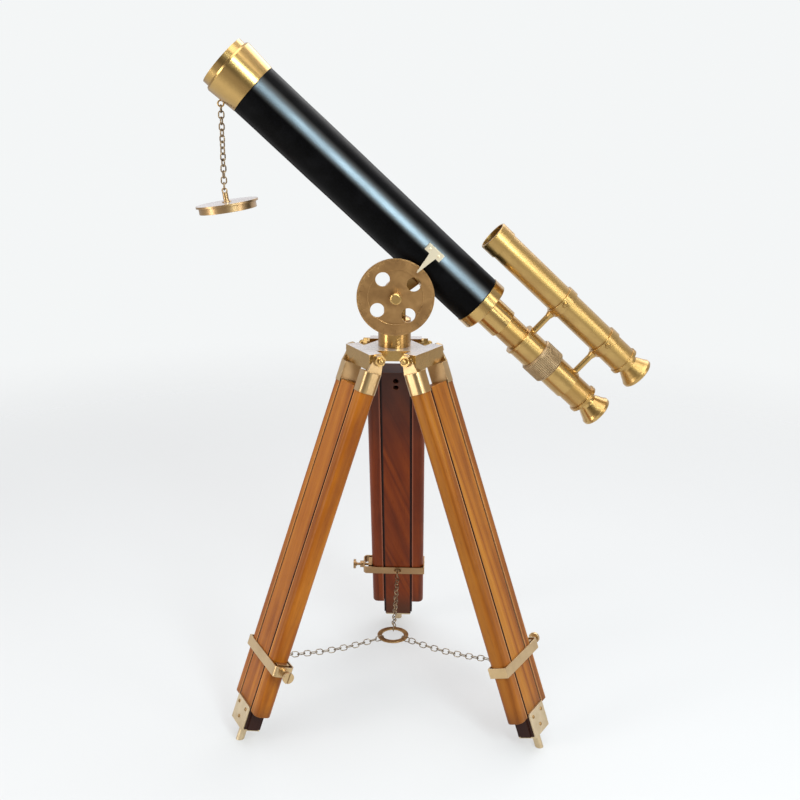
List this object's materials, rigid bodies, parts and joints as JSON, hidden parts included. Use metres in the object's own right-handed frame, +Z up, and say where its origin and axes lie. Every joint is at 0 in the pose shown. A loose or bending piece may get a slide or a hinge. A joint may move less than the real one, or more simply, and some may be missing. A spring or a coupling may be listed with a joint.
{
  "type": "tripod telescope",
  "caption": "Brass and leather refracting telescope with a side-by-side finder, altitude disc and hanging lens cap, on a folding wooden tripod with sliding legs.",
  "frame": {"origin": "on the floor, at the centre of the outline's footprint; the pillar's axis stands 32.3 mm to -X and 30.8 mm to -Y of it", "axes": "+Z up, -X the way the objective points, +Y towards the back leg"},
  "size_m": [0.4276, 0.284, 0.6525],
  "materials": {
    "brass": "satin lacquered",
    "antique_brass": "dull antique",
    "leather": "fine grain, semi-gloss",
    "wood": "satin oiled, straight grain",
    "glass": "polished",
    "steel_wire": "dull wire"
  },
  "bodies": {
    "tripod_head": {"tripod_head": "brass", "hinge_bolts": "brass"},
    "pillar": {"pillar": "brass", "azimuth_screw": "brass", "altitude_disc": "antique_brass", "tilt_bolt": "brass", "hub_nut": "brass"},
    "telescope": {"saddle": "brass", "saddle_screws": "brass", "barrel": "brass", "leather_sleeve": "leather", "objective_cell": "brass", "objective_lens": "glass", "rear_ring": "brass", "pointer": "brass", "pointer_rivets": "brass"},
    "draw": {"draw_tube": "brass", "bracket_front": "brass", "bracket_rear": "brass", "clamp_screws": "brass", "eye_tube": "brass", "finder_tube": "brass", "finder_cell": "brass", "finder_lens": "glass"},
    "knurled_ring": {"knurled_ring": "antique_brass"},
    "eyepiece": {"eyepiece": "brass", "eye_lens": "glass"},
    "finder_eyepiece": {"finder_eyepiece": "brass", "finder_eye_lens": "glass"},
    "cap_chain": {"cap_chain": "steel_wire"},
    "lens_cap": {"lens_cap": "antique_brass"},
    "spreader_ring": {"spreader_ring": "antique_brass"},
    "leg_left": {"rails_left": "wood", "ferrules_left": "brass", "clamp_strap_left": "brass", "clamp_block_left": "brass", "spreader_chain_left": "steel_wire"},
    "foot_left": {"board_left": "wood", "foot_plate_left": "brass", "foot_screws_left": "brass"},
    "thumb_left": {"thumb_screw_left": "brass"},
    "leg_right": {"rails_right": "wood", "ferrules_right": "brass", "clamp_strap_right": "brass", "clamp_block_right": "brass", "spreader_chain_right": "steel_wire"},
    "foot_right": {"board_right": "wood", "foot_plate_right": "brass", "foot_screws_right": "brass"},
    "thumb_right": {"thumb_screw_right": "brass"},
    "leg_back": {"rails_back": "wood", "ferrules_back": "brass", "clamp_strap_back": "brass", "clamp_block_back": "brass", "spreader_chain_back": "steel_wire"},
    "foot_back": {"board_back": "wood", "foot_plate_back": "brass", "foot_screws_back": "brass"},
    "thumb_back": {"thumb_screw_back": "brass"}
  },
  "joints": [
    {"name": "azimuth_swivel", "type": "hinge", "parent": "tripod_head", "child": "pillar", "pos_m": [-0.0323, -0.0308, 0.378], "axis": [0, 0, 1], "continuous": true},
    {"name": "altitude_tilt", "type": "hinge", "parent": "pillar", "child": "telescope", "pos_m": [-0.0323, -0.0308, 0.4284], "axis": [-0.0293, 0.9996, 0], "range_deg": [-60, 18]},
    {"name": "focus_draw", "type": "slide", "parent": "telescope", "child": "draw", "axis": [0.7346, 0.0215, -0.6782], "range_m": [-0.019, 0.03]},
    {"name": "knurled_ring_turn", "type": "hinge", "parent": "draw", "child": "knurled_ring", "pos_m": [0.11003, -0.02662, 0.36204], "axis": [0.7346, 0.0215, -0.6782], "continuous": true},
    {"name": "eyepiece_turn", "type": "hinge", "parent": "draw", "child": "eyepiece", "pos_m": [0.16627, -0.02498, 0.31013], "axis": [0.7346, 0.0215, -0.6782], "continuous": true},
    {"name": "finder_eyepiece_turn", "type": "hinge", "parent": "draw", "child": "finder_eyepiece", "pos_m": [0.20343, -0.02389, 0.34821], "axis": [0.7346, 0.0215, -0.6782], "continuous": true},
    {"name": "cap_chain_swing", "type": "hinge", "parent": "telescope", "child": "cap_chain", "pos_m": [-0.18737, -0.03535, 0.59796], "axis": [-0.0293, 0.9996, 0], "range_deg": [-20, 62]},
    {"name": "cap_swing", "type": "hinge", "parent": "cap_chain", "child": "lens_cap", "pos_m": [-0.18737, -0.03535, 0.52341], "axis": [-0.0293, 0.9996, 0], "range_deg": [-8, 8]},
    {"name": "leg_fold_left", "type": "hinge", "parent": "tripod_head", "child": "leg_left", "pos_m": [-0.05957, -0.04512, 0.3727], "axis": [0.4648, -0.8854, 0], "range_deg": [0, 18], "deforming": ["spreader_chain_left"]},
    {"name": "leg_extend_left", "type": "slide", "parent": "leg_left", "child": "foot_left", "axis": [-0.3043, -0.1597, -0.9391], "range_m": [0, 0.24]},
    {"name": "thumb_screw_turn_left", "type": "hinge", "parent": "leg_left", "child": "thumb_left", "pos_m": [-0.13513, -0.12816, 0.0844], "axis": [0.4648, -0.8854, 0], "continuous": true},
    {"name": "leg_fold_right", "type": "hinge", "parent": "tripod_head", "child": "leg_right", "pos_m": [-0.00627, -0.04726, 0.3727], "axis": [0.5344, 0.8453, 0], "range_deg": [0, 18], "deforming": ["spreader_chain_right"]},
    {"name": "leg_extend_right", "type": "slide", "parent": "leg_right", "child": "foot_right", "axis": [0.2905, -0.1836, -0.9391], "range_m": [0, 0.24]},
    {"name": "thumb_screw_turn_right", "type": "hinge", "parent": "leg_right", "child": "thumb_right", "pos_m": [0.10343, -0.07118, 0.0844], "axis": [0.5344, 0.8453, 0], "continuous": true},
    {"name": "leg_fold_back", "type": "hinge", "parent": "tripod_head", "child": "leg_back", "pos_m": [-0.03106, -0.00003, 0.3727], "axis": [-0.9992, 0.0401, 0], "range_deg": [0, 18], "deforming": ["spreader_chain_back"]},
    {"name": "leg_extend_back", "type": "slide", "parent": "leg_back", "child": "foot_back", "axis": [0.0138, 0.3434, -0.9391], "range_m": [0, 0.24]},
    {"name": "thumb_screw_turn_back", "type": "hinge", "parent": "leg_back", "child": "thumb_back", "pos_m": [-0.0652, 0.10694, 0.0844], "axis": [-0.9992, 0.0401, 0], "continuous": true},
    {"name": "spreader_drop", "type": "slide", "parent": "tripod_head", "child": "spreader_ring", "axis": [0, 0, -1], "range_m": [0, 0.11]}
  ],
  "couplings": [
    {"joint": "leg_fold_right", "follows": "leg_fold_left", "ratio": 1},
    {"joint": "leg_fold_back", "follows": "leg_fold_left", "ratio": 1},
    {"joint": "spreader_drop", "follows": "leg_fold_left", "m_per_rad": 0.34},
    {"joint": "cap_chain_swing", "follows": "altitude_tilt", "ratio": -1}
  ]
}
